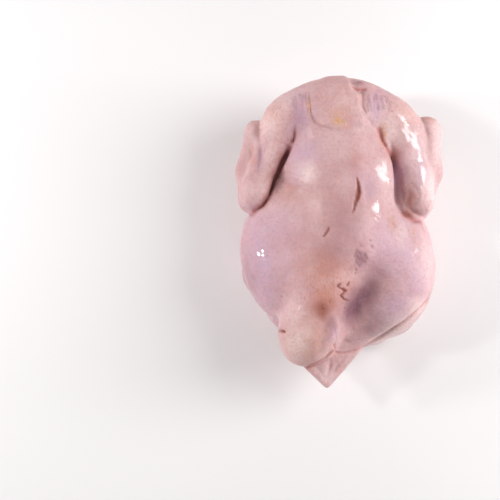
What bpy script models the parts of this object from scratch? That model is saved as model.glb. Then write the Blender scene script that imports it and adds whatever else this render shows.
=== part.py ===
"""A whole raw chicken, plucked and drawn, lying on its breast with its back up.

The scene is in metres, +Z up. The neck end points to +Y and the tail to -Y. The bird rests on
a small flat spot of its breast at Z = 0, and its outline is centred over the origin.

The bird is one piece of meat under one skin, so it is one solid. The whole of it is a field:
a function that says how far a point is from the skin, less than zero inside. Muscles are
ellipsoids and tapering limbs that blend into one another. Folds are strokes that press or
raise the skin. The field is sampled on a grid and meshed once at the end.

Every size below is in millimetres, as measured on the bird: X to its right-hand edge as seen
from above with the neck at the top, Y towards the neck and Z up.
"""

import bpy
import numpy as np
import openvdb

METRES = 0.001
GRID_STEP = 1.5
GRID_LOW = (-100, -142, -6)
GRID_HIGH = (100, 142, 116)
TRIANGLES = 11600
REST_SNAP = 0.35

# Muscles of the trunk: centre, radii and turn in degrees about X, Y and Z.
BACK = ((0, 30, 58), (46, 92, 42), (0, 0, 0))
BREASTS = [
    ((-21, 42, 35), (43, 74, 37), (0, -6, 4)),
    ((21, 42, 35), (43, 74, 37), (0, 6, -4)),
]
FLANKS = [
    ((-42, 2, 52.5), (25, 39, 28), (0, -10, 38)),
    ((39, -9, 53.5), (28, 38, 29), (0, 12, -30)),
]
PADS = [
    ((-28, 46, 62), (17, 36, 28), (0, -8, 0)),
    ((31, 47, 70.5), (15, 30, 17), (0, 27, 0)),
]
DELTOID = ((54, 76, 71), (15, 26, 13), (0, 30, 0))
SHOULDERS = ((-1, 94, 70), (54, 34, 27), (0, 0, 0))
CROP = ((0, 96, 46), (46, 28, 34), (0, 0, 0))
PELVIS = ((-8, -34, 60), (42, 50, 36), (-4, 0, -10))
BELLY = ((2, -44, 42), (48, 46, 33), (0, 0, 0))
VENT = ((4, -74, 42), (40, 24, 22), (0, 8, 0))

# Limbs: a run of joints, each X, Y, Z and the radius of the flesh there.
KEEL = [(0, 98, 16, 8), (0, 34, 6.5, 8), (0, -36, 6.5, 7)]
RUMP = [(-14, -34, 71, 23), (-20, -60, 74, 23), (-27, -84, 71, 20.5), (-29.5, -96, 67, 17)]
TAIL_LOBE = ((-10, -92, 64), (8, 15, 13), (0, 0, -18))
THIGHS = [
    ((-50, -28, 52), (31, 51, 34), (0, -14, 16)),
    ((46, -37, 52), (33, 50, 35), (0, 14, -11)),
]
DRUMSTICKS = [
    [(-60, 8, 33, 17), (-58, -30, 22, 22), (-43, -62, 18, 15), (-33, -77, 16, 12.5)],
    [(60, 4, 33, 17), (59, -40, 21.5, 21), (49, -66, 20, 17), (31, -80, 17, 13)],
]
UPPER_ARMS = [
    [(-46, 88, 72, 18), (-56, 70, 69, 12.5), (-62, 52, 65, 11.5), (-67, 38, 64, 12), (-69, 29, 64, 13.5)],
    [(45, 88, 72, 17), (56, 68, 68, 13), (64, 46, 67, 11.5), (66, 23.5, 66, 13)],
]
FOREARMS = [
    [(-73, 28, 52, 12), (-77, 52, 53, 9.4), (-70.5, 86, 59, 8.0)],
    [(66, 21, 51, 12), (75, 50, 57, 12), (74, 83, 65, 12.8)],
]
ARMPITS = [
    [(-44, 66, 60, 8), (-56, 42, 54, 10)],
    [(42, 62, 61, 8), (49, 28, 57, 9)],
]
WING_TIPS = [
    [(-70, 84, 50, 7.5), (-71, 52, 36, 8.5), (-63, 16, 28, 5)],
    [(76, 84, 50, 9), (72, 50, 36, 8.5), (64, 12, 28, 5)],
]

# Webs of skin, each three corners and a thickness.
WING_WEBS = [
    ((-70, 36, 57), (-56, 86, 69), (-71, 84, 61), 12),
    ((65, 34, 62), (54, 86, 75), (75, 84, 66), 14),
]
TAIL_SKIN = ((-32, -107, 57), (30, -80, 50), (-11.5, -127, 50), 7)

# Folds: a run of plan points, then the half width and the depth, and where the run fades in.
CREVICES = [
    ([(-38, 83), (-38, 74), (-40, 68)], 1.6, -2.6, 0.3),
    ([(-39, 70), (-46.5, 58), (-54.5, 43), (-59, 29), (-64, 19), (-72, 13), (-80, 14)], 2.0, -4.5, 0.14),
    ([(30, 82), (34, 70), (38.5, 63)], 1.6, -2.6, 0.3),
    ([(38, 66), (44, 55), (46, 44), (46.5, 33), (47, 22), (51, 11), (59, 6), (68, 6)], 3.0, -4.5, 0.14),
    ([(-67.5, 92), (-67, 78), (-65.5, 60), (-68.5, 43)], 3.0, -1.8, 0.3),
    ([(67, 96), (70, 86), (73, 72)], 1.8, -1.6, 0.3),
]
VALLEYS = [
    ([(29, -33), (18, -48), (6, -65), (-6, -82)], 14, -6.5, 0.35),
    ([(-38, -28), (-47, -56), (-51, -88)], 10, -2.5, 0.3),
    ([(20, -12), (6, -30), (-2, -52)], 14, -2.0, 0.4),
    ([(-15, -76), (-17, -88), (-19, -97), (-21, -105)], 3.4, -1.4, 0.3),
    ([(-50, 46), (-42, 38), (-32, 31.5), (-21, 25)], 3.0, -1.8, 0.25),
    ([(76, -52), (64, -65), (49, -77), (31, -89), (15, -99)], 1.8, -1.2, 0.2),
]
UNDER_FOLDS = [
    ([(-46, 18), (-38, -16), (-27, -48), (-16, -70)], 5, -6, 0.3),
    ([(46, 14), (38, -20), (29, -50), (16, -72)], 5, -6, 0.3),
]
NECK_FLAP = [
    (-25, 118), (-25.8, 95), (-24.3, 87), (-14, 77), (-5.6, 75), (2, 76), (11, 79.5), (17, 80),
    (19, 87), (16, 91), (16.6, 95), (14.2, 99.5), (14.8, 104), (12.7, 109.5), (9, 113), (6, 130),
    (-12, 130),
]
NECK_FLAP_RISE = 1.5
NECK_GROOVES = [
    ([(-24, 122), (-25.5, 104), (-25, 88), (-17, 78)], 1.8, -0.7, 0.25),
    ([(9, 113.5), (14, 110.5), (22, 111.5)], 2.4, -3.0, 0.3),
]


def vec(*values):
    return np.array(values, np.float32)


def turning(degrees):
    """Matrix that turns about X, then Y, then Z."""
    x, y, z = np.radians(degrees)
    about_x = np.array([[1, 0, 0], [0, np.cos(x), -np.sin(x)], [0, np.sin(x), np.cos(x)]])
    about_y = np.array([[np.cos(y), 0, np.sin(y)], [0, 1, 0], [-np.sin(y), 0, np.cos(y)]])
    about_z = np.array([[np.cos(z), -np.sin(z), 0], [np.sin(z), np.cos(z), 0], [0, 0, 1]])
    return (about_z @ about_y @ about_x).astype(np.float32)


def ramp(x, low, high):
    """0 below low, 1 above high, with a soft start and end."""
    t = np.clip((x - low) / (high - low), 0, 1)
    return t * t * (3 - 2 * t)


def blend(a, b, soft):
    """Both shapes as one, with the join filled over a band this wide."""
    h = np.clip(0.5 + 0.5 * (b - a) / soft, 0, 1)
    return b * (1 - h) + a * h - soft * h * (1 - h)


def muscle(p, centre, radii, turn):
    q = (p - vec(*centre)) @ turning(turn)
    r = vec(*radii)
    near = np.linalg.norm(q / r, axis=1)
    steep = np.linalg.norm(q / (r * r), axis=1)
    return near * (near - 1) / np.maximum(steep, 1e-6)


def along(p, a, b):
    """Offset of each point from the line a to b, and its share of the way along."""
    ab = b - a
    t = np.clip((p - a) @ ab / float(ab @ ab), 0, 1)
    return p - a - t[:, None] * ab, t


def limb(p, joints, flat=(1, 1, 1), soft=8.0):
    skin = None
    for (*a, ra), (*b, rb) in zip(joints, joints[1:]):
        off, t = along(p, vec(*a), vec(*b))
        d = np.linalg.norm(off / vec(*flat), axis=1) - (ra + (rb - ra) * t)
        skin = d if skin is None else blend(skin, d, soft)
    return skin


def web(p, a, b, c, thickness):
    """A three-cornered sheet of skin with round edges."""
    a, b, c = vec(*a), vec(*b), vec(*c)
    normal = np.cross(b - a, c - a)
    normal = normal / np.linalg.norm(normal)
    away = np.full(len(p), 1e9, np.float32)
    over = np.ones(len(p), bool)
    for start, end in ((a, b), (b, c), (c, a)):
        over &= (p - start) @ np.cross(normal, end - start) > 0
        away = np.minimum(away, np.linalg.norm(along(p, start, end)[0], axis=1))
    away[over] = np.abs((p[over] - a) @ normal)
    return away - thickness / 2


def nearest(p, path):
    """Distance in plan to a path, and the share of the path's run at its nearest point."""
    away = np.full(len(p), 1e9, np.float32)
    share = np.zeros(len(p), np.float32)
    for i, (a, b) in enumerate(zip(path, path[1:])):
        off, t = along(p[:, :2], vec(*a), vec(*b))
        d = np.linalg.norm(off, axis=1)
        nearer = d < away
        away[nearer] = d[nearer]
        share[nearer] = (i + t[nearer]) / (len(path) - 1)
    return away, share


def fold(p, path, half_width, rise, fade, facing):
    """How far the skin stands up along a path in plan, where facing is one."""
    away, share = nearest(p, path)
    ends = ramp(np.minimum(share, 1 - share), -0.02, fade)
    return rise * np.exp(-((away / half_width) ** 2)) * ends * facing


def inside_outline(p, corners):
    """Distance in plan to a closed outline, more than zero inside it."""
    x, y = p[:, 0], p[:, 1]
    away = np.full(len(p), 1e9, np.float32)
    sign = -np.ones(len(p), np.float32)
    for (ax, ay), (bx, by) in zip(corners, corners[1:] + corners[:1]):
        off, t = along(p[:, :2], vec(ax, ay), vec(bx, by))
        away = np.minimum(away, np.linalg.norm(off, axis=1))
        crosses = (y >= ay) != (y >= by)
        left = (bx - ax) * (y - ay) > (by - ay) * (x - ax)
        sign[crosses & (left == (by > ay))] *= -1
    return sign * away


def trunk(p):
    skin = blend(muscle(p, *BACK), blend(muscle(p, *BREASTS[0]), muscle(p, *BREASTS[1]), 12), 16)
    skin = blend(skin, limb(p, KEEL), 10)
    skin = blend(skin, muscle(p, *SHOULDERS), 14)
    skin = blend(skin, muscle(p, *CROP), 16)
    skin = blend(skin, muscle(p, *PELVIS), 18)
    skin = blend(skin, muscle(p, *BELLY), 16)
    for side in FLANKS:
        skin = blend(skin, muscle(p, *side), 14)
    for side in PADS:
        skin = blend(skin, muscle(p, *side), 8)
    for side in ARMPITS:
        skin = blend(skin, limb(p, side), 5)
    skin = blend(skin, muscle(p, *VENT), 12)
    return blend(skin, limb(p, RUMP, (1.08, 1, 0.95), 14), 10)


def leg(p, side):
    return blend(muscle(p, *THIGHS[side]), limb(p, DRUMSTICKS[side]), 8)


def wing(p, side):
    arm = blend(limb(p, UPPER_ARMS[side]), limb(p, FOREARMS[side], soft=6), 3.5)
    if side == 1:
        arm = blend(arm, muscle(p, *DELTOID), 5)
    arm = blend(arm, web(p, *WING_WEBS[side]), 7)
    return blend(arm, limb(p, WING_TIPS[side], (0.75, 1, 1.2), 6), 4)


def chicken(p):
    """The field of the whole bird."""
    x, y, z = p.T
    skin = blend(trunk(p), blend(leg(p, 0), leg(p, 1), 2), 13)
    skin = blend(skin, blend(wing(p, 0), wing(p, 1), 1), 2 + 15 * ramp(y, 62, 94))
    skin = blend(skin, web(p, *TAIL_SKIN), 4)
    skin = blend(skin, muscle(p, *TAIL_LOBE), 5)
    above, high, below = ramp(z, 37, 47), ramp(z, 55, 65), ramp(-z, -34, -24)
    for folds, facing in ((CREVICES + VALLEYS, above), (NECK_GROOVES, high), (UNDER_FOLDS, below)):
        for path, half_width, rise, fade in folds:
            skin = skin - fold(p, path, half_width, rise, fade, facing)
    lies = ramp(z, 60, 70) * ramp(y, 66, 78) * (0.3 + 0.7 * ramp(x, -22, 0))
    skin = skin - NECK_FLAP_RISE * ramp(inside_outline(p, NECK_FLAP), -1.0, 2.5) * lies
    # The breast lies flat where it bears on the table.
    return np.maximum(skin, -z)


def meshed(field, step, low, high):
    """Points in millimetres and four-cornered faces of the field's skin."""
    counts = [int((h - l) / step) + 1 for l, h in zip(low, high)]
    axes = [l + step * np.arange(n, dtype=np.float32) for l, n in zip(low, counts)]
    values = np.empty(counts, np.float32)
    for i, x in enumerate(axes[0]):
        y, z = np.meshgrid(axes[1], axes[2], indexing="ij")
        p = np.stack([np.full(y.size, x, np.float32), y.ravel(), z.ravel()], axis=1)
        values[i] = field(p).reshape(y.shape)
    grid = openvdb.FloatGrid(4 * step)
    grid.copyFromArray(values)
    points, _, quads = grid.convertToPolygons(0.0, 0.0)
    return points * step + np.array(low), quads


def main():
    for leftover in list(bpy.data.objects):
        bpy.data.objects.remove(leftover)
    points, quads = meshed(chicken, GRID_STEP, GRID_LOW, GRID_HIGH)

    mesh = bpy.data.meshes.new("chicken")
    mesh.from_pydata((points * METRES).tolist(), [], quads.tolist())
    fine = bpy.data.objects.new("fine", mesh)
    bpy.context.scene.collection.objects.link(fine)
    thin = fine.modifiers.new("fewer faces", "DECIMATE")
    thin.ratio = TRIANGLES / (2 * len(quads))
    bpy.context.view_layer.update()
    graph = bpy.context.evaluated_depsgraph_get()
    body = bpy.data.meshes.new_from_object(fine.evaluated_get(graph))
    bpy.data.objects.remove(fine)

    place = np.empty(len(body.vertices) * 3, np.float32)
    body.vertices.foreach_get("co", place)
    place = place.reshape(-1, 3)
    place[:, 2] = np.where(place[:, 2] < REST_SNAP * METRES, 0, place[:, 2])
    middle = (place.min(axis=0) + place.max(axis=0)) / 2
    place -= np.array([middle[0], middle[1], 0], np.float32)
    body.vertices.foreach_set("co", place.ravel())
    body.update()
    print("chicken", len(body.polygons), "faces,", place.max(axis=0) - place.min(axis=0), "m")

    skin = bpy.data.materials.new("raw_skin")
    skin.use_nodes = True
    shader = skin.node_tree.nodes["Principled BSDF"]
    shader.inputs["Base Color"].default_value = (0.62, 0.39, 0.40, 1)
    shader.inputs["Roughness"].default_value = 0.38
    shader.inputs["Subsurface Weight"].default_value = 0.3
    body.materials.clear()
    body.materials.append(skin)
    bird = bpy.data.objects.new("chicken", body)
    bpy.context.scene.collection.objects.link(bird)


if __name__ == "__main__":
    main()
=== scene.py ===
"""A whole raw chicken, dressed for a render.

The skin is rebuilt finely round the same field of muscles, limbs and folds as the solid, then
gets its wrinkles, slits and soft unevenness, and a wet, translucent skin material. The tables
of shapes are in millimetres, with the neck towards +Y and the back up.
"""

import math

import bpy
import numpy as np
import openvdb
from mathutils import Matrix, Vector, noise


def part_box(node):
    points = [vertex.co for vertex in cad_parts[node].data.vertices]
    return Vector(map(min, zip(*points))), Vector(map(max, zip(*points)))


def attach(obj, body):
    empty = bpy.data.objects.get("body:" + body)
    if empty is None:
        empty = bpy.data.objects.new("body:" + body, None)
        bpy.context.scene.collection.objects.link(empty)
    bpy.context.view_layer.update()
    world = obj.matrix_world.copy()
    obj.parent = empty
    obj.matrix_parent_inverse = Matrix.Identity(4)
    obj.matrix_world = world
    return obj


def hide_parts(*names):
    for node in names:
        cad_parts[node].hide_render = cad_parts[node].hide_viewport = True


bl_info = {
    "name": "Raw Chicken",
    "version": (1, 0, 0),
    "blender": (4, 5, 0),
    "location": "View3D > Sidebar > Raw Chicken",
    "description": "Builds the wet plucked skin of a whole raw chicken and a studio round it",
    "category": "Object",
}

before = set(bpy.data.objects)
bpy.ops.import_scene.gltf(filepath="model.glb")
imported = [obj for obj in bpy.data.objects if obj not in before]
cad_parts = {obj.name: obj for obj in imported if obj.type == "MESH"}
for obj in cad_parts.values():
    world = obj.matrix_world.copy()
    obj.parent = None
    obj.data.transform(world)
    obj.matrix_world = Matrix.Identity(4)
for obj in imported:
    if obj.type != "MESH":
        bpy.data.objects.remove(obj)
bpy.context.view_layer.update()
BIRD_LOW, BIRD_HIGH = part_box("chicken")

MM = 0.001
# The box in which the field is meshed, in millimetres. It is worked out first on a grid this many
# times coarser, and then exactly in a band this wide at each side of the skin, some points at a time.
GRID_LOW = (-100, -142, -6)
GRID_HIGH = (100, 142, 116)
COARSE = 4
BAND = 8.0
POINTS_AT_A_TIME = 60000
FAR = 1e9

# Muscles of the trunk: centre, radii and turn in degrees about X, Y and Z.
BACK = ((0, 30, 58), (46, 92, 42), (0, 0, 0))
BREASTS = [
    ((-21, 42, 35), (43, 74, 37), (0, -6, 4)),
    ((21, 42, 35), (43, 74, 37), (0, 6, -4)),
]
FLANKS = [
    ((-42, 2, 52.5), (25, 39, 28), (0, -10, 38)),
    ((39, -9, 53.5), (28, 38, 29), (0, 12, -30)),
]
PADS = [
    ((-28, 46, 62), (17, 36, 28), (0, -8, 0)),
    ((31, 47, 70.5), (15, 30, 17), (0, 27, 0)),
]
DELTOID = ((54, 76, 71), (15, 26, 13), (0, 30, 0))
SHOULDERS = ((-1, 94, 70), (54, 34, 27), (0, 0, 0))
CROP = ((0, 96, 46), (46, 28, 34), (0, 0, 0))
PELVIS = ((-8, -34, 60), (42, 50, 36), (-4, 0, -10))
BELLY = ((2, -44, 42), (48, 46, 33), (0, 0, 0))
VENT = ((4, -74, 42), (40, 24, 22), (0, 8, 0))

# Limbs: a run of joints, each X, Y, Z and the radius of the flesh there.
KEEL = [(0, 98, 16, 8), (0, 34, 6.5, 8), (0, -36, 6.5, 7)]
RUMP = [(-14, -34, 71, 23), (-20, -60, 74, 23), (-27, -84, 71, 20.5), (-29.5, -96, 67, 17)]
TAIL_LOBE = ((-10, -92, 64), (8, 15, 13), (0, 0, -18))
THIGHS = [
    ((-50, -28, 52), (31, 51, 34), (0, -14, 16)),
    ((46, -37, 52), (33, 50, 35), (0, 14, -11)),
]
DRUMSTICKS = [
    [(-60, 8, 33, 17), (-58, -30, 22, 22), (-43, -62, 18, 15), (-33, -77, 16, 12.5)],
    [(60, 4, 33, 17), (59, -40, 21.5, 21), (49, -66, 20, 17), (31, -80, 17, 13)],
]
UPPER_ARMS = [
    [(-46, 88, 72, 18), (-56, 70, 69, 12.5), (-62, 52, 65, 11.5), (-67, 38, 64, 12), (-69, 29, 64, 13.5)],
    [(45, 88, 72, 17), (56, 68, 68, 13), (64, 46, 67, 11.5), (66, 23.5, 66, 13)],
]
FOREARMS = [
    [(-73, 28, 52, 12), (-77, 52, 53, 9.4), (-70.5, 86, 59, 8.0)],
    [(66, 21, 51, 12), (75, 50, 57, 12), (74, 83, 65, 12.8)],
]
ARMPITS = [
    [(-44, 66, 60, 8), (-56, 42, 54, 10)],
    [(42, 62, 61, 8), (49, 28, 57, 9)],
]
WING_TIPS = [
    [(-70, 84, 50, 7.5), (-71, 52, 36, 8.5), (-63, 16, 28, 5)],
    [(76, 84, 50, 9), (72, 50, 36, 8.5), (64, 12, 28, 5)],
]

# Webs of skin, each three corners and a thickness.
WING_WEBS = [
    ((-70, 36, 57), (-56, 86, 69), (-71, 84, 61), 12),
    ((65, 34, 62), (54, 86, 75), (75, 84, 66), 14),
]
TAIL_SKIN = ((-32, -107, 57), (30, -80, 50), (-11.5, -127, 50), 7)

# Folds: a run of plan points, then the half width and the depth, and where the run fades in.
CREVICES = [
    ([(-38, 83), (-38, 74), (-40, 68)], 1.6, -2.6, 0.3),
    ([(-39, 70), (-46.5, 58), (-54.5, 43), (-59, 29), (-64, 19), (-72, 13), (-80, 14)], 2.0, -4.5, 0.14),
    ([(30, 82), (34, 70), (38.5, 63)], 1.6, -2.6, 0.3),
    ([(38, 66), (44, 55), (46, 44), (46.5, 33), (47, 22), (51, 11), (59, 6), (68, 6)], 3.0, -4.5, 0.14),
    ([(-67.5, 92), (-67, 78), (-65.5, 60), (-68.5, 43)], 3.0, -1.8, 0.3),
    ([(67, 96), (70, 86), (73, 72)], 1.8, -1.6, 0.3),
]
VALLEYS = [
    ([(29, -33), (18, -48), (6, -65), (-6, -82)], 14, -6.5, 0.35),
    ([(-38, -28), (-47, -56), (-51, -88)], 10, -2.5, 0.3),
    ([(20, -12), (6, -30), (-2, -52)], 14, -2.0, 0.4),
    ([(-15, -76), (-17, -88), (-19, -97), (-21, -105)], 3.4, -1.4, 0.3),
    ([(-50, 46), (-42, 38), (-32, 31.5), (-21, 25)], 3.0, -1.8, 0.25),
    ([(76, -52), (64, -65), (49, -77), (31, -89), (15, -99)], 1.8, -1.2, 0.2),
]
UNDER_FOLDS = [
    ([(-46, 18), (-38, -16), (-27, -48), (-16, -70)], 5, -6, 0.3),
    ([(46, 14), (38, -20), (29, -50), (16, -72)], 5, -6, 0.3),
]
NECK_FLAP = [
    (-25, 118), (-25.8, 95), (-24.3, 87), (-14, 77), (-5.6, 75), (2, 76), (11, 79.5), (17, 80),
    (19, 87), (16, 91), (16.6, 95), (14.2, 99.5), (14.8, 104), (12.7, 109.5), (9, 113), (6, 130),
    (-12, 130),
]
NECK_FLAP_RISE = 1.5
NECK_GROOVES = [
    ([(-24, 122), (-25.5, 104), (-25, 88), (-17, 78)], 1.8, -0.7, 0.25),
    ([(9, 113.5), (14, 110.5), (22, 111.5)], 2.4, -3.0, 0.3),
]

# Fine folds, put on once the skin is meshed: a run of plan points, half width and rise.
WRINKLES = [
    ([(-53, 46.5), (-47, 38.7), (-39.3, 34.1), (-31.4, 30.6), (-24, 26.5)], 2.2, -0.9),
    ([(-46.5, 52), (-38.5, 42), (-27, 32)], 2.2, 0.8),
    ([(-50, 38), (-40, 31.5), (-29, 27)], 1.6, 0.5),
    ([(-24.5, -33), (-29, -37), (-34, -44)], 0.8, -0.4),
    ([(-30, -36), (-35, -40), (-40, -47)], 0.8, -0.4),
    ([(-33, -44), (-37, -49), (-41, -57)], 0.7, -0.35),
    ([(-22, -30), (-29, -34), (-37, -39)], 0.8, -0.35),
    ([(-16, -46), (-22, -50), (-30, -53)], 0.9, 0.35),
    ([(-38.4, -38.9), (-33.1, -43.5), (-36.9, -45.4), (-41.6, -48.3)], 0.8, -0.5),
    ([(8, 62), (18, 57), (25, 49)], 1.6, -0.25),
    ([(-17, -13), (-23, -21), (-29, -30)], 0.9, -0.2),
    ([(-25, 118), (-26, 104), (-25.2, 92)], 1.0, -0.35),
    ([(-25.5, 94), (-24, 86), (-18, 79.5), (-9, 77)], 1.0, -0.9),
    ([(-76, 70), (-73, 64), (-75, 57)], 1.0, -0.6),
    ([(-72, 58), (-74, 50), (-71, 44)], 1.0, -0.5),
    ([(-67, 84), (-63, 78), (-57, 74), (-52, 74)], 1.2, -0.5),
    ([(-62, 70), (-66, 62), (-70, 52)], 1.3, -0.6),
    ([(57, 37), (62, 32), (64, 25), (61, 18)], 1.1, -1.1),
    ([(52, 33), (56, 27), (55, 19)], 1.1, -0.7),
    ([(65, 36), (69, 28), (67, 20)], 1.2, -0.5),
    ([(56, 14), (63, 11.5), (71, 14)], 1.1, -0.7),
    ([(60, 29), (58, 23), (59, 17)], 0.9, 0.5),
    ([(40, 2), (46, -6), (54, -10)], 0.9, -0.35),
    ([(44, -2), (52, -8), (60, -10)], 0.9, -0.35),
    ([(22, 9), (31, 5), (40, -3)], 1.4, 0.4),
    ([(-8.6, -107), (-10.3, -117), (-11.6, -125)], 1.4, -1.0),
    ([(-20, -114), (-16, -119), (-13, -125)], 0.9, -0.5),
    ([(4, -104), (-3, -112), (-9, -121)], 1.2, -0.6),
    ([(10, -98), (4, -108), (-4, -116)], 1.0, 0.4),
    ([(26, -90), (12, -97), (0, -101), (-8, -100)], 1.4, 0.8),
    ([(76, -53), (64, -66), (49, -78), (31, -90), (15, -99), (2, -102), (-5, -101), (-8, -96)], 1.1, -1.3),
    ([(-67.5, 92), (-67, 78), (-65.5, 60), (-69, 42)], 1.5, -1.2),
    ([(-68, 76), (-60, 73), (-50, 69), (-43, 67)], 1.5, -0.9),
    ([(-66, 64), (-60, 67), (-52, 64)], 1.2, 0.5),
    ([(76, -50), (64, -62), (49, -74), (31, -86), (15, -97)], 1.8, 0.5),
    ([(-30, -114), (-22, -111.5), (-14, -107), (-8, -101)], 1.1, -1.2),
    ([(-9, -84), (-6, -92), (-8, -99)], 1.3, -0.7),
    ([(-3, -96), (2, -92), (6, -93)], 1.0, -0.6),
    ([(-66, 78), (-64, 70), (-67, 62)], 0.9, -0.5),
    ([(-72, 70), (-70, 60), (-73, 52)], 1.0, -0.4),
    ([(-46, 68), (-53, 60), (-60, 57)], 0.9, -0.35),
    ([(50, 80), (58, 72), (66, 70)], 1.2, -0.35),
    ([(56, 84), (62, 76), (69, 73)], 1.0, -0.3),
    ([(-18, 116), (-17, 104), (-14, 94)], 1.2, -0.4),
    ([(-10, 118), (-8, 108), (-9, 99)], 1.1, -0.4),
    ([(3, 112), (5, 103), (4, 92)], 1.2, -0.5),
    ([(9.5, 111), (10.5, 103), (9, 93)], 1.1, -0.6),
    ([(17, 111), (17.6, 103), (17.2, 96), (20, 90)], 1.2, -1.1),
    ([(20, 87), (25.5, 81), (31, 76)], 0.9, -0.7),
]
# Fans of fine lines: from where to where the first runs, the same for the last, how many, half
# width and rise. The first two, on the shoulders, are drawn in colour too.
FANS = [
    ((-39, 108), (-40, 92), (-27.5, 110), (-25.5, 90), 9, 0.55, -0.6),
    ((19.5, 110), (20, 92), (37.5, 107), (40.5, 92), 10, 0.6, -0.7),
    ((-49, 48), (-31, 38), (-57, 33), (-38, 25), 8, 0.8, -1.0),
    ((52, 4), (54, -9), (69, 3), (71, -12), 5, 1.0, -0.4),
    ((-18, -50), (-30, -66), (-6, -44), (-14, -66), 5, 0.7, -0.22),
]
SHOULDER_FANS = 2
# Small lumps: plan place, spread across and along, turn in degrees, rise.
LUMPS = [
    (15.5, 118, 5.0, 2.6, 0, 1.7), (5.2, 115.2, 2.0, 1.4, 0, 0.9), (10.6, 108, 3.0, 3.5, 0, 0.5),
    (61, 33, 4, 3, 0, 0.7), (49.5, 80, 5, 13, 0, 0.8), (65, 76, 6, 15, 0, 1.0),
    (-27, 41, 6, 8, 10, 0.9),
    (56, 9, 3, 2.5, 0, 0.8), (64, 22, 5, 4, 0, 0.6), (-49.5, -90, 3, 2.5, 0, 0.8),
    (-9, -88, 3.6, 6, -14, 0.9), (0, -95, 4, 3, 0, 0.8),
    (-61, 52, 3, 8, -20, 0.6), (-75, 32, 5, 6, 0, 0.8), (30, -8, 7, 10, -30, 0.5), (-20, -99, 7, 7, 0, 0.6),
]
# Tears of the skin: a run of plan points, half width and depth.
SLITS = [
    ([(11.0, 36), (12.4, 28), (10.4, 19), (7.4, 7)], 1.7, -1.2),
    ([(12.2, 30), (12.9, 24), (11.0, 16)], 1.4, -0.8),
    ([(-11.5, -4), (-13.5, -8), (-16.5, -12.5)], 1.1, -0.4),
    ([(-2.6, -48.8), (-5.4, -51.2), (-2.2, -53.4)], 1.2, -1.0),
    ([(-3.4, -52.6), (1.2, -54.4), (-1.2, -57.4)], 1.3, -1.1),
    ([(-0.4, -56.4), (-2.6, -58.6), (0.5, -60.8), (4.6, -61.8)], 1.1, -0.9),
    ([(4.4, -47.6), (2.0, -50.8)], 1.1, -0.9),
    ([(-53, -85.2), (-49.6, -85.6), (-46.6, -87.2)], 1.3, -1.8),
]
# Pits: plan place and radius. The scrape is an outline, and the dimple a wide pit on the rump.
PITS = [
    (14.1, -53.2, 0.9), (14.2, -19.4, 0.9), (22.7, -18.6, 1.1), (23.6, -21, 0.8), (9.6, -37.6, 1.0),
    (9.4, -40.4, 1.0),
    (5.5, -53.2, 0.7), (0.7, -67.4, 0.7), (-49.3, -57.8, 0.9), (-12, -64, 0.9), (-17, -70, 1.0),
    (1.1, -22.4, 0.7), (21.7, -14, 0.7),
]
SCRAPE = [
    (9.5, -21), (14, -23), (18.5, -24.5), (19.6, -29), (15.5, -33), (12.6, -36.5), (9.5, -32), (7, -27.5),
]
DIMPLE = (-18.5, -73, 5.5)
PIT_DEPTH = 0.8
SCRAPE_DEPTH = 0.4
DIMPLE_DEPTH = 1.1
# Where the skin is creased all over, as the lumps are given.
CREASED = [
    (-34, 40, 22, 16, -30, 1), (57, 16, 14, 18, 0, 1.4), (50, -6, 20, 12, 0, 0.8),
    (-30, -42, 16, 16, 0, 0.8),
    (-62, 66, 14, 22, 0, 0.7), (60, 60, 16, 30, 0, 0.6), (12, 108, 8, 12, 0, 0.8),
]

# Where the skin changes colour: plan place, spread across and along, turn in degrees, strength.
FLUSHED = [
    (-15, -60, 11, 20, -24, 0.95), (-14, -38, 16, 18, -20, 0.85), (-30, -34, 10, 8, 30, 0.45),
    (4, -52, 8, 10, 0, 0.45),
    (-22, -92, 7, 14, -25, 0.45), (-44, 33, 10, 3, -35, 0.5), (60, -14, 7, 12, 10, 0.3),
    (40, 0, 4, 9, 24, 0.7),
    (-73, 62, 3, 12, 0, 0.6), (75, 94, 5, 5, 0, 0.7), (-46, 28, 10, 7, -20, 0.35),
    (-30, -98, 14, 12, -10, 0.35),
    (-58, 78, 10, 12, 0, 0.35), (0, 6, 22, 14, 0, 0.2), (10, 50, 5, 8, 0, 0.4), (-44, 90, 7, 8, 0, 0.3),
    (48, 96, 9, 8, 0, 0.3),
]
COOL = [
    (-36, 92, 10, 17, 0, 1.0), (29, 98, 7, 13, -8, 0.85), (-64, 60, 7, 14, -12, 0.8),
    (-48, -30, 12, 24, 0, 0.4), (-32, 58, 13, 12, 20, 0.8), (-34, 42, 10, 10, 0, 0.6),
    (-66, -30, 14, 46, 6, 0.9), (-55, 0, 18, 18, 20, 0.6), (48, -18, 26, 26, 20, 0.8),
    (64, 50, 6, 22, 8, 0.6),
    (-59, 74, 6, 6, 0, 0.8), (-66, 49, 5, 9, -10, 0.9), (48, 42, 5, 14, -4, 0.9), (20, 30, 10, 14, 0, 0.45),
    (44, -66, 18, 12, 30, 0.8),
    (-24, 92, 4, 6, 0, 0.3), (60, -44, 12, 20, 0, 0.8), (-9, -88, 4, 7, -14, 0.6),
]
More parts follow.
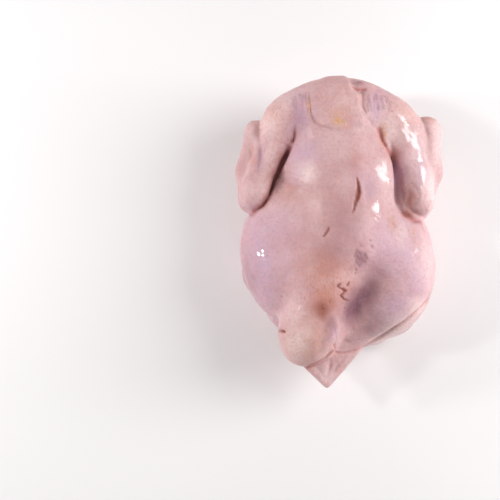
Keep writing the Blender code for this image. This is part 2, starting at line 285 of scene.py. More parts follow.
# Purple-grey skin over dark meat, as on the neck's lump and the scrape, and also painted shade: in the
# rump's valley, in the pocket under the right wing and beside the back's middle.
BRUISE_AND_SHADE = [
    (14, -64, 9, 21, -38, 0.7), (6, -71, 10, 9, -30, 0.8), (22, 27, 8, 12, 0, 0.3),
    (-17, -117, 5, 6, 0, 0.3),
    (14, -29, 5.5, 6.5, 0, 0.7), (30, -38, 12, 10, -30, 0.3), (-10, -80, 5, 7, 0, 0.6),
    (20, -84, 16, 7, 24, 0.35),
    (15.5, 118.5, 6, 3.4, 0, 0.75), (-36, 90, 7, 13, 0, 0.35), (49, 30, 4.5, 12, -4, 0.35),
    # Painted shade on the middle of the back, which the side lamps light less than its flanks.
    (0, -4, 18, 32, 0, 0.36), (-6, -22, 18, 16, 0, 0.42), (2, 44, 18, 22, 0, 0.16),
    # Painted shadow on the left thigh's lower edge, as if cast by a bird lying beside it.
    (-77, -44, 8, 28, 10, 0.4),
]
# The valley of the rump, purple-grey and painted with the thigh's shade all along: a run of plan points,
# half width and where it fades in.
BRUISE_AND_SHADE_RUN = ([(32, -38), (21, -51), (11, -64), (3, -75), (-6, -86)], 9.5, 0.35)
# Brown-red wrinkled skin of the elbows and the rump's dimple, and also painted shade: on the left elbow's
# lower right side and on the rump's right flank beside the dimple.
BROWNED_AND_SHADE = [
    (-61, 22, 4, 7, -24, 0.45), (-50, 58, 3, 7, -34, 0.45), (-60, 42, 3, 8, -26, 0.45),
    (57, 22, 6, 9, -8, 0.75), (57, 12, 8, 5, 10, 0.85), (-17.5, -70, 6, 7, 0, 1.0),
    (-13, -66, 6, 9, -20, 0.5),
    (46, 61, 3, 6, 30, 0.6), (-68, 48, 5, 14, -10, 0.25), (-72, 26, 7, 7, 0, 0.2), (11, 22, 3, 9, 10, 0.3),
]
FATTY = [
    (-2.5, 82, 6, 3.4, -8, 1.0), (-5, 87, 3.4, 4, 0, 0.8), (-26.5, 98, 1.6, 8, 0, 0.9),
    (35, 77, 2.4, 6, 12, 0.8),
    (3, 80, 3, 2, 0, 0.5), (-1.7, 112, 1.6, 1.4, 0, 0.8), (42, 4, 2, 6, 24, 0.5), (58, -4, 2, 5, -10, 0.5),
    (-2, 90, 9, 7, 0, 0.35), (33, 69, 2, 5, 20, 0.6), (-34, -96, 17, 17, -10, 0.3),
    (-56, 92, 12, 12, 0, 0.18),
    (-60, 56, 8, 26, -14, 0.14), (56, 88, 12, 12, 0, 0.14), (0, 104, 20, 16, 0, 0.1),
    (-24, 20, 20, 16, 0, 0.1),
]
# Pale fatty skin, as on the tail and the neck, and also painted light where the lamps leave the skin
# darker.
PALE_AND_PAINTED_LIGHT = [
    (-37, -96, 11, 13, -10, 1.0), (-14, -117, 12, 12, 0, 0.5), (46, -86, 18, 6, 34, 1.0),
    (-28, 40, 7, 10, 0, 1.0),
    (-48, 100, 12, 10, 0, 0.4), (-58, 62, 4, 12, -14, 0.6), (-6, 104, 14, 12, 0, 0.15),
    (62, 62, 10, 22, 0, 0.5),
    (-74, 80, 6, 12, 0, 0.5), (82, 70, 6, 22, 0, 0.8), (-40, -72, 8, 16, -10, 0.4),
    (70, -30, 10, 26, 0, 0.6), (44, 92, 12, 8, 0, 0.4),
    # The first is a painted sheen on the right hip; the others are painted light on the left elbow and the
    # tops of both wings.
    (47, -9, 9, 13, 0, 0.6), (-70, 30, 8, 9, 0, 0.6), (-58, 84, 10, 13, 0, 0.8), (42, 76, 9, 12, 0, 0.9),
    (34, 45, 6, 12, 0, 0.3),
    (52, 26, 7, 16, 0, 0.9), (75, 30, 8, 20, 0, 1.0), (-60, 36, 12, 16, -20, 0.7),
    # The first two are painted light on the strip under the right thigh's fold, which lies in the thigh's
    # shade.
    (44, -82, 26, 8, 34, 1.0), (62, -66, 12, 8, 40, 1.0), (60, 16, 12, 10, 0, 0.5),
    (-30, 42, 8, 7, 20, 0.8),
]
PLUCKED = [
    (-52, 92, 22, 18, 0, 0.8), (54, 96, 20, 18, 0, 0.7), (-18, -48, 20, 32, -20, 1.0),
    (0, 100, 24, 26, 0, 0.45),
    (-60, 50, 14, 26, 0, 0.5), (6, 30, 40, 40, 0, 0.3), (40, -50, 30, 34, 0, 0.35),
    (-60, -40, 20, 40, 0, 0.2),
]
# Dark lines in the folds, partly the red skin deep in them and partly painted shade: a run of plan points,
# half width and strength.
DARK_RUNS = [
    ([(-38, 82), (-38, 73), (-41, 67), (-47, 57), (-54.5, 43), (-59, 29), (-64, 19), (-72, 13), (-79, 14)],
     2.2, 0.42),
    ([(30, 82), (34, 70), (38.5, 63), (43, 55)], 2.0, 0.7),
    ([(50, 14), (54, 9), (60, 6), (68, 6)], 1.8, 0.5),
    ([(-25, 90), (-23, 84), (-17, 79.5), (-8, 76.5)], 0.9, 0.35),
    ([(17, 111), (17.6, 103), (17.2, 96), (20, 90)], 1.0, 0.5),
    ([(9, 114), (14, 112), (22, 112.5)], 1.1, 0.6),
    ([(76, -53), (64, -66), (49, -78), (31, -90), (15, -99), (2, -102), (-5, -101), (-8, -96)], 1.0, 0.4),
    ([(-30, -115), (-22, -111.5), (-14, -107), (-8, -101)], 1.3, 0.6),
]

MOTTLING_COLOUR = "#efd6d2"
BLOTCH_COLOUR = "#b98484"
# Dampness of the rest of the skin, and how far the edges of colours wander, in millimetres.
DAMP = 0.05
WANDER = 2.2
# Where water lies on the skin, given as the colours are.
WET = [
    (50, 82, 7, 11, 14, 1.0), (57, 71, 11, 9, 0, 1.0), (67, 50, 4, 22, -4, 1.0), (33, 44, 6, 10, 8, 1.0),
    (28, 10, 6, 10, 0, 0.68),
    (-66, -21, 3.6, 5.5, 0, 1.0), (-61.5, -23, 2.6, 4, 0, 0.9), (62, -20, 7, 5, 0, 0.5),
    (-19, 79, 8, 2.4, -36, 0.7), (12, 108, 4, 5, 0, 0.6),
    (-2, -50, 3, 4, 0, 0.5), (48, -8, 5, 3, 30, 0.45), (60, 16, 3, 3, 0, 0.7),
]


def vec(*values):
    return np.array(values, np.float32)


def turning(degrees):
    """Matrix that turns about X, then Y, then Z."""
    x, y, z = np.radians(degrees)
    about_x = np.array([[1, 0, 0], [0, np.cos(x), -np.sin(x)], [0, np.sin(x), np.cos(x)]])
    about_y = np.array([[np.cos(y), 0, np.sin(y)], [0, 1, 0], [-np.sin(y), 0, np.cos(y)]])
    about_z = np.array([[np.cos(z), -np.sin(z), 0], [np.sin(z), np.cos(z), 0], [0, 0, 1]])
    return (about_z @ about_y @ about_x).astype(np.float32)


def ramp(x, low, high):
    """0 below low, 1 above high, with a soft start and end."""
    t = np.clip((x - low) / (high - low), 0, 1)
    return t * t * (3 - 2 * t)


def blend(a, b, soft):
    """Both shapes as one, with the join filled over a band this wide."""
    h = np.clip(0.5 + 0.5 * (b - a) / soft, 0, 1)
    return b * (1 - h) + a * h - soft * h * (1 - h)


def muscle(p, centre, radii, turn):
    q = (p - vec(*centre)) @ turning(turn)
    r = vec(*radii)
    near = np.linalg.norm(q / r, axis=1)
    steep = np.linalg.norm(q / (r * r), axis=1)
    return near * (near - 1) / np.maximum(steep, 1e-6)


def along(p, a, b):
    """Offset of each point from the line a to b, and its share of the way along."""
    ab = b - a
    t = np.clip((p - a) @ ab / float(ab @ ab), 0, 1)
    return p - a - t[:, None] * ab, t


def limb(p, joints, flat=(1, 1, 1), soft=8.0):
    skin = None
    for (*a, ra), (*b, rb) in zip(joints, joints[1:]):
        off, t = along(p, vec(*a), vec(*b))
        d = np.linalg.norm(off / vec(*flat), axis=1) - (ra + (rb - ra) * t)
        skin = d if skin is None else blend(skin, d, soft)
    return skin


def web(p, a, b, c, thickness):
    """A three-cornered sheet of skin with round edges."""
    a, b, c = vec(*a), vec(*b), vec(*c)
    normal = np.cross(b - a, c - a)
    normal = normal / np.linalg.norm(normal)
    away = np.full(len(p), FAR, np.float32)
    over = np.ones(len(p), bool)
    for start, end in ((a, b), (b, c), (c, a)):
        over &= (p - start) @ np.cross(normal, end - start) > 0
        away = np.minimum(away, np.linalg.norm(along(p, start, end)[0], axis=1))
    away[over] = np.abs((p[over] - a) @ normal)
    return away - thickness / 2


def nearest(p, path):
    """Distance in plan to a path, and the share of the path's run at its nearest point."""
    away = np.full(len(p), FAR, np.float32)
    share = np.zeros(len(p), np.float32)
    for i, (a, b) in enumerate(zip(path, path[1:])):
        off, t = along(p[:, :2], vec(*a), vec(*b))
        d = np.linalg.norm(off, axis=1)
        nearer = d < away
        away[nearer] = d[nearer]
        share[nearer] = (i + t[nearer]) / (len(path) - 1)
    return away, share


def fold(p, path, half_width, rise, fade, facing):
    """How far the skin stands up along a path in plan, where facing is one."""
    away, share = nearest(p, path)
    ends = ramp(np.minimum(share, 1 - share), -0.02, fade)
    return rise * np.exp(-((away / half_width) ** 2)) * ends * facing


def inside_outline(p, corners):
    """Distance in plan to a closed outline, more than zero inside it."""
    x, y = p[:, 0], p[:, 1]
    away = np.full(len(p), FAR, np.float32)
    sign = -np.ones(len(p), np.float32)
    for (ax, ay), (bx, by) in zip(corners, corners[1:] + corners[:1]):
        off, t = along(p[:, :2], vec(ax, ay), vec(bx, by))
        away = np.minimum(away, np.linalg.norm(off, axis=1))
        crosses = (y >= ay) != (y >= by)
        left = (bx - ax) * (y - ay) > (by - ay) * (x - ax)
        sign[crosses & (left == (by > ay))] *= -1
    return sign * away


def trunk(p):
    skin = blend(muscle(p, *BACK), blend(muscle(p, *BREASTS[0]), muscle(p, *BREASTS[1]), 12), 16)
    skin = blend(skin, limb(p, KEEL), 10)
    skin = blend(skin, muscle(p, *SHOULDERS), 14)
    skin = blend(skin, muscle(p, *CROP), 16)
    skin = blend(skin, muscle(p, *PELVIS), 18)
    skin = blend(skin, muscle(p, *BELLY), 16)
    for side in FLANKS:
        skin = blend(skin, muscle(p, *side), 14)
    for side in PADS:
        skin = blend(skin, muscle(p, *side), 8)
    for side in ARMPITS:
        skin = blend(skin, limb(p, side), 5)
    skin = blend(skin, muscle(p, *VENT), 12)
    return blend(skin, limb(p, RUMP, (1.08, 1, 0.95), 14), 10)


def leg(p, side):
    return blend(muscle(p, *THIGHS[side]), limb(p, DRUMSTICKS[side]), 8)


def wing(p, side):
    arm = blend(limb(p, UPPER_ARMS[side]), limb(p, FOREARMS[side], soft=6), 3.5)
    if side == 1:
        arm = blend(arm, muscle(p, *DELTOID), 5)
    arm = blend(arm, web(p, *WING_WEBS[side]), 7)
    return blend(arm, limb(p, WING_TIPS[side], (0.75, 1, 1.2), 6), 4)


def chicken(p):
    """The field of the whole bird."""
    x, y, z = p.T
    skin = blend(trunk(p), blend(leg(p, 0), leg(p, 1), 2), 13)
    skin = blend(skin, blend(wing(p, 0), wing(p, 1), 1), 2 + 15 * ramp(y, 62, 94))
    skin = blend(skin, web(p, *TAIL_SKIN), 4)
    skin = blend(skin, muscle(p, *TAIL_LOBE), 5)
    above, high, below = ramp(z, 37, 47), ramp(z, 55, 65), ramp(-z, -34, -24)
    for folds, facing in ((CREVICES + VALLEYS, above), (NECK_GROOVES, high), (UNDER_FOLDS, below)):
        for path, half_width, rise, fade in folds:
            skin = skin - fold(p, path, half_width, rise, fade, facing)
    lies = ramp(z, 60, 70) * ramp(y, 66, 78) * (0.3 + 0.7 * ramp(x, -22, 0))
    skin = skin - NECK_FLAP_RISE * ramp(inside_outline(p, NECK_FLAP), -1.0, 2.5) * lies
    # The breast lies flat where it bears on the table.
    return np.maximum(skin, -z)


def spread(coarse, ratio):
    """The coarse grid's values on a grid this many times finer."""
    fine = coarse
    for axis in range(3):
        n = fine.shape[axis]
        place = np.arange((n - 1) * ratio + 1) / ratio
        low = np.minimum(place.astype(int), n - 2)
        share = (place - low).astype(np.float32).reshape([-1 if a == axis else 1 for a in range(3)])
        fine = np.take(fine, low, axis) * (1 - share) + np.take(fine, low + 1, axis) * share
    return fine


def meshed(field, step):
    """Points in millimetres and four-cornered faces of the field's skin.
    The field is worked out coarsely first, and then exactly in a band near the skin."""
    counts = [int((h - l) / (step * COARSE)) + 1 for l, h in zip(GRID_LOW, GRID_HIGH)]
    low = vec(*GRID_LOW)
    rough = np.indices(counts).reshape(3, -1).T.astype(np.float32) * (step * COARSE) + low
    values = spread(field(rough).reshape(counts), COARSE)
    near = np.argwhere(np.abs(values) < BAND).astype(np.int32)
    for start in range(0, len(near), POINTS_AT_A_TIME):
        part = near[start:start + POINTS_AT_A_TIME]
        values[tuple(part.T)] = field(part.astype(np.float32) * step + low)
    grid = openvdb.FloatGrid(BAND)
    grid.copyFromArray(np.ascontiguousarray(np.clip(values, -BAND, BAND), np.float32))
    points, _, quads = grid.convertToPolygons(0.0, 0.0)
    return points * step + low, quads


def tapered(p, path, half_width):
    """Strength of a stroke that is widest in its middle and closes to nothing at its ends."""
    away, share = nearest(p, path)
    width = half_width * np.sqrt(np.clip(4 * share * (1 - share), 0.02, 1))
    return np.exp(-((away / width) ** 2))


def fan_lines(fan):
    """The lines of a fan, each a path with its half width and rise."""
    first_from, first_to, last_from, last_to, count, half_width, rise = fan
    for i in range(count):
        t = (i + 0.3 * math.sin(5.0 * i)) / (count - 1)
        start = [a + (b - a) * t for a, b in zip(first_from, last_from)]
        end = [a + (b - a) * t for a, b in zip(first_to, last_to)]
        middle = [(a + b) / 2 + 0.7 * math.sin(2.4 * i) for a, b in zip(start, end)]
        yield [start, middle, end], half_width, rise * (0.7 + 0.3 * math.cos(1.7 * i))


def patches(p, spots):
    """Soft-edged patches, seen from above: the strongest at each point."""
    strength = np.zeros(len(p), np.float32)
    for x, y, across, along_it, turn, most in spots:
        c, s = math.cos(math.radians(turn)), math.sin(math.radians(turn))
        u = ((p[:, 0] - x) * c + (p[:, 1] - y) * s) / across
        v = (-(p[:, 0] - x) * s + (p[:, 1] - y) * c) / along_it
        strength = np.maximum(strength, most * np.exp(-(u * u + v * v)))
    return strength


def hollow(p, pit):
    """Depth of a round pit, seen from above, from 0 to 1."""
    x, y, radius = pit
    return np.exp(-((np.hypot(p[:, 0] - x, p[:, 1] - y) / radius) ** 2))


def unevenness(p, size, seed):
    """Smooth random rise and fall of about this size in millimetres, from -1 to 1."""
    shift = Vector((seed, -seed, seed * 0.5))
    return np.array([noise.noise(Vector(q) / size + shift) for q in p.tolist()], np.float32)


def fine_relief(p, up):
    """How far each point of the skin stands proud, in millimetres: wrinkles, slits, soft lumps."""
    rise = 0.35 * unevenness(p, 11.0, 3.0) + 0.2 * unevenness(p, 4.5, 9.0)
    rough = unevenness(p, 2.2, 17.0)
    rise += 0.2 * rough * (0.4 + patches(p, CREASED)) + up * patches(p, LUMPS)
    for path, half_width, height in WRINKLES + [line for fan in FANS for line in fan_lines(fan)]:
        rise += up * height * tapered(p, path, half_width)
    jagged = p + 0.7 * np.stack([rough, np.roll(rough, 7), 0 * rough], axis=1)
    for path, half_width, depth in SLITS:
        opened = tapered(jagged, path, half_width)
        lip = tapered(jagged, path, half_width * 2.2) - opened
        rise += up * (depth * ramp(opened, 0.2, 0.9) + 0.35 * lip)
    for pit in PITS:
        rise -= up * PIT_DEPTH * hollow(p, pit)
    rise -= SCRAPE_DEPTH * ramp(inside_outline(jagged, SCRAPE), -0.3, 0.7) * up
    rise -= up * DIMPLE_DEPTH * hollow(p, DIMPLE)
    return rise


def skin_tones(p, up):
    """Named strengths, 0 to 1 at each point, of what colours the skin there."""
    wander = np.stack([unevenness(p, 7, 31.0), unevenness(p, 7, 47.0), 0 * p[:, 0]], axis=1)
    q = p + vec(WANDER, WANDER, 0) * wander
    cuts, dark, lines = np.zeros((3, len(p)), np.float32)
    for path, half_width, _ in SLITS:
        cuts = np.maximum(cuts, tapered(p, path, half_width * 1.1))
    for pit in PITS:
        cuts = np.maximum(cuts, 0.7 * hollow(p, pit))
    for path, half_width, most in DARK_RUNS:
        dark = np.maximum(dark, most * fold(p, path, half_width, 1.0, 0.1, ramp(p[:, 2], 30, 45)))
    for path, half_width, _ in [line for fan in FANS[:SHOULDER_FANS] for line in fan_lines(fan)]:
        lines = np.maximum(lines, tapered(p, path, half_width))
    scraped = ramp(inside_outline(p + 0.7 * (q - p), SCRAPE), -0.8, 1.2)
    scraped *= 0.65 + 0.5 * unevenness(p, 1.6, 11.0)
    water = patches(p + 0.8 * (q - p), WET)
    water = water + 0.3 * unevenness(p, 2.4, 5.0) + 0.15 * unevenness(p, 5.0, 29.0)
    path, half_width, fade = BRUISE_AND_SHADE_RUN
    valley_bruise_and_shade = fold(q, path, half_width, 1.0, fade, 1.0)
    return {
        "flushed": patches(q, FLUSHED) * up,
        "cool": np.maximum(patches(q, COOL), 0.5 * ramp(-p[:, 2], -45, -20)),
        "bruise_and_shade": np.max([patches(q, BRUISE_AND_SHADE), 0.4 * lines, scraped, valley_bruise_and_shade], axis=0) * up,
        "browned_and_shade": patches(q, BROWNED_AND_SHADE) * up,
        "fatty": patches(p, FATTY) * up,
        "pale": np.maximum(patches(q, PALE_AND_PAINTED_LIGHT), 0.5 * ramp(-p[:, 2], -30, -8)),
        "dark": dark,
        "cut": ramp(cuts, 0.25, 0.8) * up,
        "plucked": np.maximum(patches(p, PLUCKED), 0.12),
        "wet": DAMP + (1 - DAMP) * ramp(water, 0.36, 0.52),
    }


def linear(hex_colour):
    """An sRGB hex colour as linear RGBA."""
    parts = [int(hex_colour[i:i + 2], 16) / 255 for i in (1, 3, 5)]
    return tuple(c / 12.92 if c <= 0.04045 else ((c + 0.055) / 1.055) ** 2.4 for c in parts) + (1,)


def node(tree, kind, inputs=None, **settings):
    """Adds a node with these settings; each of its inputs gets a link or a value."""
    made = tree.nodes.new(kind)
    for key, value in settings.items():
        setattr(made, key, value)
    for key, value in (inputs or {}).items():
        if isinstance(value, bpy.types.NodeSocket):
            tree.links.new(value, made.inputs[key])
        else:
            made.inputs[key].default_value = value
    return made


def empty_material(name):
    made = bpy.data.materials.new(name)
    made.use_nodes = True
    made.node_tree.nodes.clear()
    return made, made.node_tree


def raw_skin(sizes):
    """Wet plucked chicken skin: thin, fatty and translucent, so light glows pink through it.
    Each feather follicle leaves a small raised dot with a warm rim, and the film of water on it
    gives small, hard highlights over a soft body."""
    made, tree = empty_material("wet_plucked_chicken_skin")
    place = node(tree, "ShaderNodeTexCoord").outputs["Object"]
    grains = {}
    for name, millimetres, detail in (
            ("clouds", 26, 2), ("mottling", 5, 4), ("blotches", 2.4, 3), ("fat", 1.8, 3),
            ("creases", 2.2, 4), ("film", 2.6, 4), ("puddles", 9, 2)):
        grains[name] = node(tree, "ShaderNodeTexNoise", {
            "Vector": place, "Scale": 1 / (millimetres * MM), "Detail": detail,
            "Roughness": 0.6}).outputs["Fac"]
    masks = {name: node(tree, "ShaderNodeAttribute", attribute_name=name).outputs["Fac"] for name in (
        "cool", "flushed", "pale", "bruise_and_shade", "browned_and_shade", "fatty", "dark", "cut", "plucked", "wet")}

    # Follicles lie in rows along the body: a warm dot in each, strongest on the rump and the wings.
    rows = node(tree, "ShaderNodeMapping", {"Vector": place, "Scale": (1, 0.7, 1)}).outputs[0]
    follicles = node(tree, "ShaderNodeTexVoronoi", {
        "Vector": rows, "Scale": 1 / (sizes.follicle_spacing * MM), "Randomness": 0.8}).outputs["Distance"]
    levels = {}
    for name, source, low, high, to_low, to_high in (
            ("clouds", grains["clouds"], 0.35, 0.65, 0, 1),
            ("mottling", grains["mottling"], 0.3, 0.7, 0, 0.4),
            ("blotches", grains["blotches"], 0.48, 0.72, 0, 0.34),
            ("fat", grains["fat"], 0.42, 0.56, 0, 1),
            ("dots", follicles, 0.05, 0.4, 0.75, 0),
            ("bumps", follicles, 0, 0.5, 0.5, 0),
            ("roughness", grains["puddles"], 0.35, 0.65, sizes.roughness + 0.08, sizes.roughness - 0.06)):
        levels[name] = node(tree, "ShaderNodeMapRange", {
            "Value": source, "From Min": low, "From Max": high,
            "To Min": to_low, "To Max": to_high}).outputs[0]
    products = {}
    for name, a, b in (
            ("dots", levels["dots"], masks["plucked"]), ("bumps", levels["bumps"], masks["plucked"]),
            ("fat", levels["fat"], masks["fatty"]), ("fine", grains["creases"], 0.6),
            ("water", masks["wet"], sizes.wetness)):
        products[name] = node(tree, "ShaderNodeMath", {0: a, 1: b}, operation="MULTIPLY").outputs[0]

    # Colour in layers: blood under thin skin first, then what lies on it; the bruise, brown, pale and fold
    # layers carry painted shade and light too.
    colour = linear(sizes.skin_colour)
    for share, layer, mode in (
            (levels["clouds"], sizes.skin_rosy, "MIX"),
            (masks["cool"], sizes.cool_colour, "MIX"),
            (masks["flushed"], sizes.flushed_colour, "MIX"),
            (masks["pale"], sizes.pale_and_lit_colour, "MIX"),
            (masks["bruise_and_shade"], sizes.bruise_and_shade_colour, "MIX"),
            (masks["browned_and_shade"], sizes.browned_and_shade_colour, "MIX"),
            (levels["mottling"], MOTTLING_COLOUR, "SOFT_LIGHT"),
            (levels["blotches"], BLOTCH_COLOUR, "MIX"),
            (products["dots"], sizes.follicle_colour, "MIX"),
            (products["fat"], sizes.fat_colour, "MIX"),
            (masks["dark"], sizes.crevice_colour, "MIX"),
            (masks["cut"], sizes.flesh_colour, "MIX")):
        colour = node(tree, "ShaderNodeMix", {"Factor": share, 6: colour, 7: linear(layer)},
                      data_type="RGBA", blend_type=mode).outputs[2]

    # Relief too fine for the mesh: follicle bumps and creases of about 2 mm, under a film of water
    # that evens them out.
    height = node(tree, "ShaderNodeMath", {
        0: products["fine"], 1: products["bumps"]}, operation="ADD").outputs[0]
    skin_bump = node(tree, "ShaderNodeBump", {
        "Height": height, "Strength": 0.8, "Distance": 0.9 * MM}).outputs[0]
    film_height = node(tree, "ShaderNodeMath", {
        0: products["fine"], 1: 0.5, 2: grains["film"]}, operation="MULTIPLY_ADD").outputs[0]
    film_bump = node(tree, "ShaderNodeBump", {
        "Height": film_height, "Strength": 0.2, "Distance": 0.5 * MM}).outputs[0]
    shader = node(tree, "ShaderNodeBsdfPrincipled", {
        "Base Color": colour, "Roughness": levels["roughness"], "Normal": skin_bump, "IOR": 1.4,
        "Subsurface Weight": 0.35, "Subsurface Radius": (1.0, 0.42, 0.32), "Subsurface Scale": 2.4 * MM,
        "Coat Weight": products["water"], "Coat Roughness": 0.06, "Coat IOR": 1.7,
        "Coat Normal": film_bump})
    node(tree, "ShaderNodeOutputMaterial", {"Surface": shader.outputs[0]})
    return made


def backdrop_paper(colour):
    """Matt white studio paper: an even pale ground that takes a soft shadow."""
    made, tree = empty_material("matt_white_backdrop_paper")
    place = node(tree, "ShaderNodeTexCoord").outputs["Object"]
    fibres = node(tree, "ShaderNodeTexNoise", {"Vector": place, "Scale": 900, "Detail": 2}).outputs["Fac"]
    bump = node(tree, "ShaderNodeBump", {
        "Height": fibres, "Strength": 0.05, "Distance": 0.1 * MM}).outputs[0]
    shader = node(tree, "ShaderNodeBsdfPrincipled", {
        "Base Color": linear(colour), "Roughness": 0.9, "Normal": bump})
    node(tree, "ShaderNodeOutputMaterial", {"Surface": shader.outputs[0]})
    return made


def colour_of(name, description, default):
    return bpy.props.StringProperty(name=name, description=description, default=default)


class ChickenSkinSizes(bpy.types.PropertyGroup):
    """Sizes and colours of the skin."""
    mesh_step: bpy.props.FloatProperty(
        name="Mesh Step", description="Spacing of the skin's faces in millimetres",
        default=1.3, min=1.25, max=4.0)
    follicle_spacing: bpy.props.FloatProperty(
        name="Follicle Spacing", description="Distance between feather follicles in millimetres",
        default=2.4, min=1.0, max=6.0)
    wetness: bpy.props.FloatProperty(
        name="Wetness", description="How much water film lies on the skin",
        default=1.0, min=0, max=1, subtype="FACTOR")
    roughness: bpy.props.FloatProperty(
        name="Roughness", description="Roughness of the skin under the film",
        default=0.56, min=0.1, max=0.9, subtype="FACTOR")
    skin_colour: colour_of("Skin", "Ordinary skin, sRGB hex", "#dab6b7")
    skin_rosy: colour_of("Rosy Skin", "Skin with more blood under it, sRGB hex", "#cda1a3")
    cool_colour: colour_of("Cool Skin", "Thin lilac skin over dark meat, sRGB hex", "#ceacc0")
    flushed_colour: colour_of("Flushed Skin", "Warm orange-pink skin, sRGB hex", "#c58b7d")
    # Also the colour of the painted light on the hip, the wings and under the right thigh.
    pale_and_lit_colour: colour_of("Pale Skin", "Thick fatty skin, sRGB hex", "#efd2d2")
    # Also the colour of the painted shade in the rump's valley, the wing pocket and on the back.
    bruise_and_shade_colour: colour_of("Bruised Skin", "Purple-grey skin, sRGB hex", "#835c69")
    # Also the colour of painted shade on the left elbow and the rump's flank.
    browned_and_shade_colour: colour_of("Browned Skin", "Brown-red wrinkled skin, sRGB hex", "#9c5f52")
    fat_colour: colour_of("Fat", "Yellow fat under the skin, sRGB hex", "#d9a25e")
    # Also painted shade along the folds, over their red skin.
    crevice_colour: colour_of("Crevice", "Deep folds, sRGB hex", "#b05a50")
    flesh_colour: colour_of("Open Flesh", "Flesh in slits of the skin, sRGB hex", "#96544a")
    follicle_colour: colour_of("Follicle", "Warm rim of a follicle, sRGB hex", "#c67a54")


class ChickenStageSizes(bpy.types.PropertyGroup):
    """Sizes and colours of the studio."""
    floor_size: bpy.props.FloatProperty(
        name="Floor", description="Side of the square floor", default=6.0, unit="LENGTH")
    floor_colour: colour_of("Floor Colour", "Pale paper, sRGB hex", "#f4f1f1")
    window_power: bpy.props.FloatProperty(
        name="Windows", description="Power of the broad soft lamp on the left; the other windows have less",
        default=3.1, unit="POWER")
    key_power: bpy.props.FloatProperty(
        name="Right Lamp", description="Power of the large lamp on the right that the wet skin mirrors",
        default=5.7, unit="POWER")
    side_power: bpy.props.FloatProperty(
        name="Small Lamps", description="Power of each small lamp on the left; the right one has half",
        default=1.6, unit="POWER")
    sky: bpy.props.FloatProperty(
        name="Surround", description="Strength of the white surround", default=0.23, min=0)


class CHICKEN_OT_skin(bpy.types.Operator):
    """Builds the bird's skin, finely meshed, over its solid"""
    bl_idname = "chicken.skin"
    bl_label = "Chicken Skin"

    def execute(self, context):
        sizes = context.scene.chicken_skin
        points, quads = meshed(chicken, sizes.mesh_step)
        mesh = bpy.data.meshes.new("chicken_skin")
        mesh.from_pydata((points * MM).tolist(), [], quads.tolist())
        mesh.shade_smooth()
        bird = bpy.data.objects.new("chicken_skin", mesh)
        context.scene.collection.objects.link(bird)

        normals = np.empty(len(points) * 3, np.float32)
        mesh.vertices.foreach_get("normal", normals)
        normals = normals.reshape(-1, 3)
        p = points.astype(np.float32)
        up = ramp(normals[:, 2], -0.1, 0.35)
        for name, strength in skin_tones(p, up).items():
            mask = mesh.attributes.new(name, "FLOAT", "POINT")
            mask.data.foreach_set("value", strength.astype(np.float32))
        p = p + normals * fine_relief(p, up)[:, None]
        p[:, 2] = np.maximum(p[:, 2], 0)
        p *= MM
        middle = (p.min(axis=0) + p.max(axis=0)) / 2
        aim = (np.array(BIRD_LOW) + np.array(BIRD_HIGH)) / 2
        p[:, :2] += (aim - middle)[:2].astype(np.float32)
        mesh.vertices.foreach_set("co", p.ravel())
        mesh.update()

        mesh.materials.append(raw_skin(sizes))
        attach(bird, "root")
        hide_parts("chicken")
        print("skin", len(mesh.vertices), "points", len(quads), "faces")
        return {"FINISHED"}


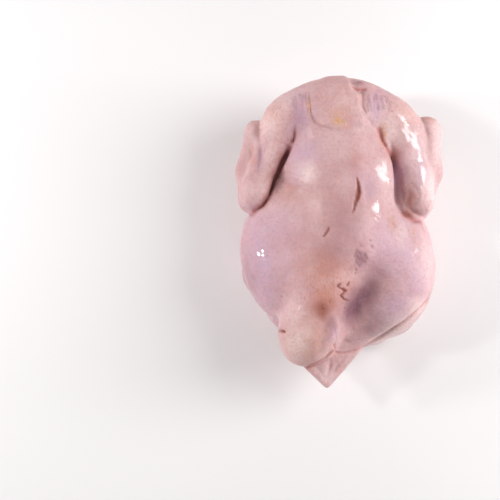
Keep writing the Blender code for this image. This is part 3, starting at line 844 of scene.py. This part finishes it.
class CHICKEN_OT_stage(bpy.types.Operator):
    """Lays the pale floor, and sets the lamps and the camera"""
    bl_idname = "chicken.stage"
    bl_label = "Studio"

    def execute(self, context):
        sizes = context.scene.chicken_stage
        half = sizes.floor_size / 2
        mesh = bpy.data.meshes.new("studio_floor")
        corners = [(-half, -half, 0), (half, -half, 0), (half, half, 0), (-half, half, 0)]
        mesh.from_pydata(corners, [], [(0, 1, 2, 3)])
        mesh.materials.append(backdrop_paper(sizes.floor_colour))
        floor = bpy.data.objects.new("studio_floor", mesh)
        context.scene.collection.objects.link(floor)

        # Name, place, size and power. Only the lamps that aren't windows show in the wet skin.
        lamps = [
            ("left_window", (-0.94, 0.12, 0.34), (0.5, 0.35), sizes.window_power),
            ("right_window", (0.94, 0.05, 0.28), (0.5, 0.35), sizes.window_power * 0.7),
            ("front_window", (0.10, -0.95, 0.36), (0.5, 0.35), sizes.window_power * 0.45),
            ("back_window", (0.0, 0.95, 0.36), (0.5, 0.35), sizes.window_power * 0.35),
            ("right_lamp", (0.68, 0.14, 0.66), (0.50, 0.60), sizes.key_power),
            ("right_lamp_low", (0.90, 0.05, 0.33), (0.12, 0.16), sizes.side_power * 0.5),
            ("left_lamp_low", (-0.85, 0.05, 0.52), (0.10, 0.08), sizes.side_power),
            ("left_lamp_high", (-0.68, 0.07, 0.73), (0.10, 0.08), sizes.side_power),
        ]
        for name, place, size, power in lamps:
            light = bpy.data.lights.new(name, "AREA")
            light.shape = "RECTANGLE"
            light.size, light.size_y = size
            light.energy = power
            lamp = bpy.data.objects.new(name, light)
            lamp.location = place
            lamp.visible_glossy = "window" not in name
            lamp.rotation_euler = (Vector((0, 0, 0.05)) - Vector(place)).to_track_quat("-Z", "Y").to_euler()
            context.scene.collection.objects.link(lamp)

        world = bpy.data.worlds.new("white_surround")
        world.use_nodes = True
        background = world.node_tree.nodes["Background"]
        background.inputs["Color"].default_value = (1, 1, 1, 1)
        background.inputs["Strength"].default_value = sizes.sky
        context.scene.world = world
        context.scene.view_settings.view_transform = "Standard"

        # The picture is 420 mm wide at the bird's back, which lies 75.2 mm right of its middle and
        # 15.5 mm above it.
        lens, sensor, across, tilt = 70.0, 36.0, 0.42, math.radians(81)
        away = across * lens / sensor
        back = Vector((0, -math.cos(tilt), math.sin(tilt)))
        upward = Vector((0, math.sin(tilt), math.cos(tilt)))
        target = Vector((-0.0752, 0, 0.055)) - upward * 0.0155
        camera = bpy.data.objects.new("camera", bpy.data.cameras.new("camera"))
        camera.data.lens = lens
        camera.data.sensor_width = sensor
        camera.location = target + back * away
        camera.rotation_euler = (-back).to_track_quat("-Z", "Y").to_euler()
        context.scene.collection.objects.link(camera)
        context.scene.camera = camera
        return {"FINISHED"}


class CHICKEN_PT_panel(bpy.types.Panel):
    """Lists the pieces and their sizes"""
    bl_idname = "CHICKEN_PT_panel"
    bl_label = "Raw Chicken"
    bl_space_type = "VIEW_3D"
    bl_region_type = "UI"
    bl_category = "Raw Chicken"

    def draw(self, context):
        for group, operator in (
                (context.scene.chicken_skin, CHICKEN_OT_skin),
                (context.scene.chicken_stage, CHICKEN_OT_stage)):
            box = self.layout.box()
            box.operator(operator.bl_idname)
            for name in group.__annotations__:
                box.prop(group, name)


CLASSES = (ChickenSkinSizes, ChickenStageSizes, CHICKEN_OT_skin, CHICKEN_OT_stage, CHICKEN_PT_panel)


def register():
    for cls in CLASSES:
        bpy.utils.register_class(cls)
    bpy.types.Scene.chicken_skin = bpy.props.PointerProperty(type=ChickenSkinSizes)
    bpy.types.Scene.chicken_stage = bpy.props.PointerProperty(type=ChickenStageSizes)


def unregister():
    del bpy.types.Scene.chicken_stage
    del bpy.types.Scene.chicken_skin
    for cls in reversed(CLASSES):
        bpy.utils.unregister_class(cls)


def main():
    register()
    bpy.ops.chicken.skin()
    bpy.ops.chicken.stage()


if __name__ == "__main__":
    main()
